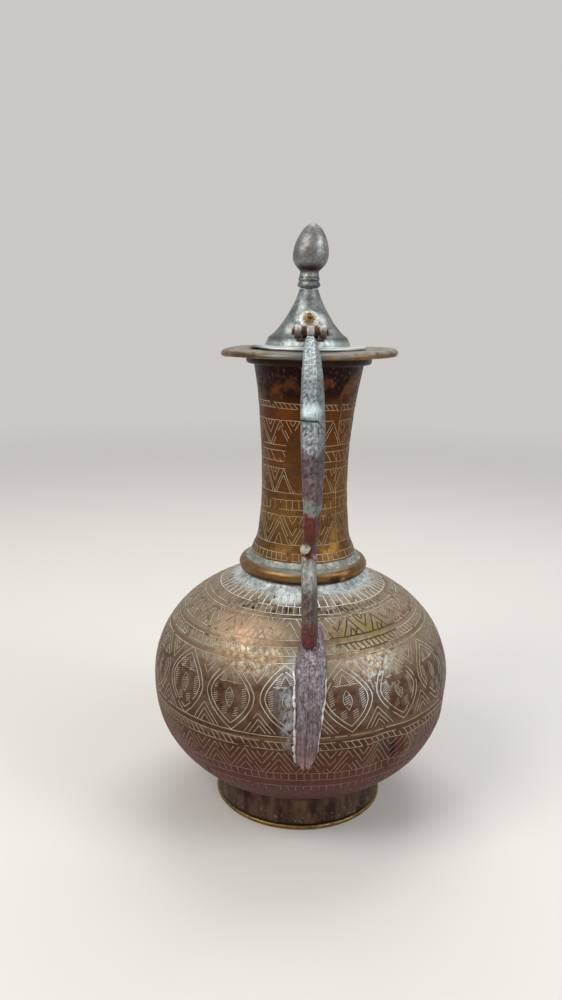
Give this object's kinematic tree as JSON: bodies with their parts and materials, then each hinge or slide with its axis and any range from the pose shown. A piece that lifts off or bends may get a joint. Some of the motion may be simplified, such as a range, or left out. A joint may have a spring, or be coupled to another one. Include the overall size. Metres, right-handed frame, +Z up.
{
  "type": "copper ewer",
  "caption": "Engraved round-bellied copper ewer with a ring foot, flared neck, rim plate, hinged conical lid with bud finial, S-shaped cast handle and curved spout.",
  "frame": {"origin": "on the table at the centre of the foot, on the vessel's axis", "axes": "+Z up along the vessel's axis; the handle is towards -Y and the spout towards +Y"},
  "size_m": [0.171, 0.2044, 0.3298],
  "materials": {
    "body_copper": "raised copper sheet, dark brown patina, engraved lines filled white",
    "neck_copper": "rolled copper sheet, golden-brown patina, engraved lines filled white",
    "collar_copper": "rubbed copper with tin on its upper side",
    "foot_copper": "tarnished copper with upright stains",
    "plate_brass": "tarnished brass, whitish on top",
    "trim_brass": "rubbed yellow brass",
    "tinned_casting": "cast brass, tinned grey and mottled",
    "tinned_lid": "spun copper, tinned grey and mottled",
    "spout_copper": "copper tube, brown patina"
  },
  "bodies": {
    "vessel": {"body_bowl": "body_copper", "body_shoulder": "body_copper", "spout_tube": "spout_copper", "spout_flange": "spout_copper", "spout_lip": "trim_brass", "foot_ring": "foot_copper", "foot_wire": "trim_brass", "neck_tube": "neck_copper", "neck_collar": "collar_copper", "rim_plate": "plate_brass", "mouth_ledge": "plate_brass", "hinge_fork": "tinned_casting", "hinge_pin": "trim_brass", "handle_casting": "tinned_casting", "handle_leaf": "tinned_casting"},
    "lid": {"lid_cover": "tinned_lid", "lid_bezel": "tinned_lid", "strap_rosette": "trim_brass", "strap_rivet": "trim_brass", "rivet_rove": "trim_brass", "finial_collar": "tinned_lid", "finial_bud": "tinned_lid", "finial_rove": "trim_brass", "hinge_strap": "trim_brass"}
  },
  "joints": [
    {"name": "lid_hinge", "type": "hinge", "parent": "vessel", "child": "lid", "pos_m": [0, -0.032, 0.2739], "axis": [1, 0, 0], "range_deg": [0, 105]}
  ]
}
